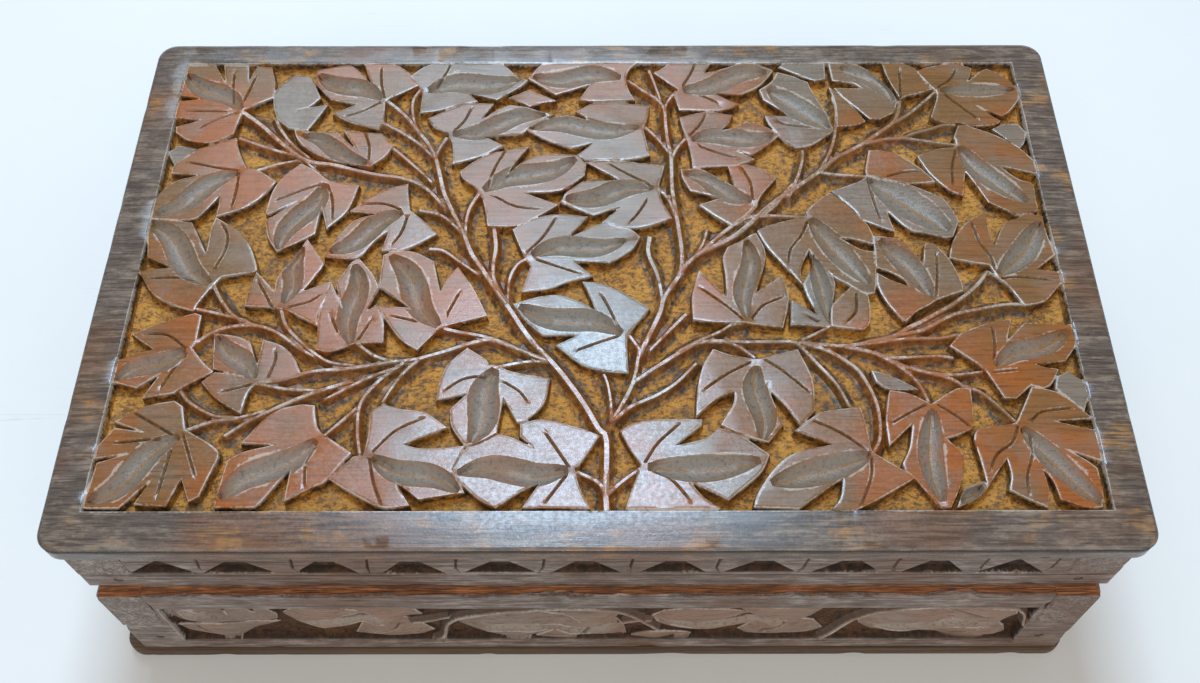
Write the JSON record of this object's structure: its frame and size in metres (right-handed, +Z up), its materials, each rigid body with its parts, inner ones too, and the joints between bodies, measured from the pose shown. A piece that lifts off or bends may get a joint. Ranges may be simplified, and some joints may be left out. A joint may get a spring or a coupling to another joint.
{
  "type": "keepsake box",
  "caption": "Rectangular wooden keepsake box with a deep carved lid, chip-cut rails and carved walls, opening on butt hinges at the back.",
  "frame": {"origin": "middle of the underside, in plan the middle of the whole box, at the level that it stands on", "axes": "+X to the right along the longest side, +Y to the back where the hinges are, +Z up"},
  "size_m": [0.254, 0.1584, 0.068],
  "materials": {
    "lid_wood": "waxed, worn, with dirt in the carving",
    "wall_wood": "dry, worn and greyed",
    "bottom_wood": "raw, darkened",
    "hinge_brass": "tarnished satin",
    "nail_steel": "dark, slightly rusty"
  },
  "bodies": {
    "base": {"base_front_wall": "wall_wood", "base_back_wall": "wall_wood", "base_left_wall": "wall_wood", "base_right_wall": "wall_wood", "bottom_board": "bottom_wood", "base_corner_nails": "nail_steel", "bottom_board_nails": "nail_steel", "left_hinge_base_leaf": "hinge_brass", "left_hinge_pin": "hinge_brass", "right_hinge_base_leaf": "hinge_brass", "right_hinge_pin": "hinge_brass", "hinge_base_screws": "hinge_brass"},
    "lid": {"lid_board": "lid_wood", "lid_front_rail": "wall_wood", "lid_back_rail": "wall_wood", "lid_left_rail": "wall_wood", "lid_right_rail": "wall_wood", "lid_corner_nails": "nail_steel", "left_hinge_lid_leaf": "hinge_brass", "right_hinge_lid_leaf": "hinge_brass", "hinge_lid_screws": "hinge_brass"}
  },
  "joints": [
    {"name": "lid_hinge", "type": "hinge", "parent": "base", "child": "lid", "pos_m": [0, 0.077, 0.04265], "axis": [-1, 0, 0], "range_deg": [0, 175]}
  ]
}
